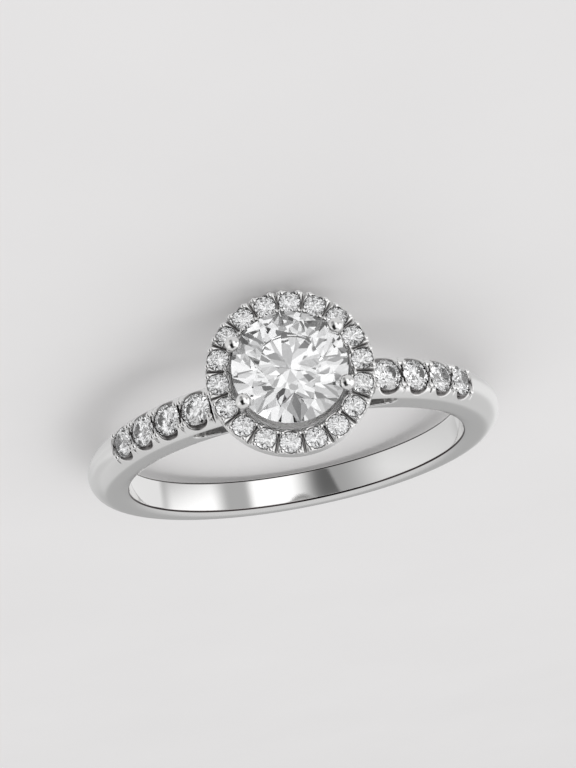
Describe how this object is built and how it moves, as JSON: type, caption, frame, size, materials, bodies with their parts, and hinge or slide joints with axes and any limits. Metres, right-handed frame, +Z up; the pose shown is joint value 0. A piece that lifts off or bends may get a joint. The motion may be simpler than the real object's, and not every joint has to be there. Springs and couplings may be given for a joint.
{
  "type": "halo ring",
  "caption": "White metal ring with a round brilliant in a halo of small brilliants on a raised collet, four round-tipped claws and stone-set shoulders.",
  "frame": {"origin": "on the surface that the ring lies on, at the middle of the ring's box seen from above", "axes": "+Z up; the head points along -Y and is raised by the lean of the ring; +X across the ring, so the shoulders lie left (-X) and right (+X) of the head"},
  "size_m": [0.0208, 0.0246, 0.0074],
  "materials": {
    "white_metal": "high polish",
    "centre_brilliant": "polished facets",
    "small_brilliant": "polished facets"
  },
  "bodies": {
    "root": {"ring_metal": "white_metal", "centre_stone": "centre_brilliant", "halo_stone_1": "small_brilliant", "halo_stone_2": "small_brilliant", "halo_stone_3": "small_brilliant", "halo_stone_4": "small_brilliant", "halo_stone_5": "small_brilliant", "halo_stone_6": "small_brilliant", "halo_stone_7": "small_brilliant", "halo_stone_8": "small_brilliant", "halo_stone_9": "small_brilliant", "halo_stone_10": "small_brilliant", "halo_stone_11": "small_brilliant", "halo_stone_12": "small_brilliant", "halo_stone_13": "small_brilliant", "halo_stone_14": "small_brilliant", "halo_stone_15": "small_brilliant", "halo_stone_16": "small_brilliant", "halo_stone_17": "small_brilliant", "halo_stone_18": "small_brilliant", "shoulder_stone_left_1": "small_brilliant", "shoulder_stone_left_2": "small_brilliant", "shoulder_stone_left_3": "small_brilliant", "shoulder_stone_left_4": "small_brilliant", "shoulder_stone_right_1": "small_brilliant", "shoulder_stone_right_2": "small_brilliant", "shoulder_stone_right_3": "small_brilliant", "shoulder_stone_right_4": "small_brilliant"}
  },
  "joints": []
}
